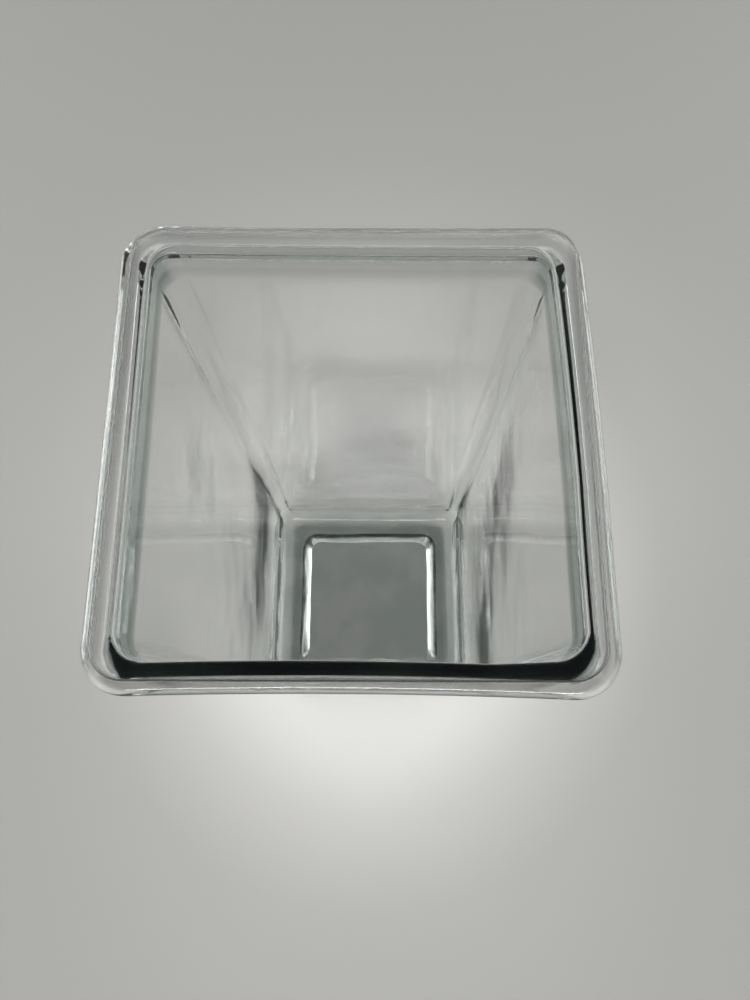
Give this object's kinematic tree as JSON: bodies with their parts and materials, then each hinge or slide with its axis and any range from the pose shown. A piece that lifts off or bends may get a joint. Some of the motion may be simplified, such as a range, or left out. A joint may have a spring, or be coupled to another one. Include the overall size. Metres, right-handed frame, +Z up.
{
  "type": "specimen jar",
  "caption": "Tall square clear-glass specimen jar with rounded corners and a flat flange round its mouth, closed by a loose glass plate that lifts off.",
  "frame": {"origin": "centre of the jar's square footprint, on the surface that its foot stands on", "axes": "+Z up along the jar's height to its mouth; X and Y square to the side walls, with -Y the front"},
  "size_m": [0.15, 0.15, 0.3093],
  "materials": {
    "jar_glass": "clear pressed soda-lime glass with a faint grey-green tint, fire-polished and slightly wavy, with a lightly ground flange face",
    "plate_glass": "clear polished plate glass with ground edges"
  },
  "bodies": {
    "jar": {"jar_body": "jar_glass"},
    "cover": {"cover_plate": "plate_glass"}
  },
  "joints": [
    {"name": "cover_lift", "type": "slide", "parent": "jar", "child": "cover", "axis": [0, 0, 1], "range_m": [0, 0.1]}
  ]
}
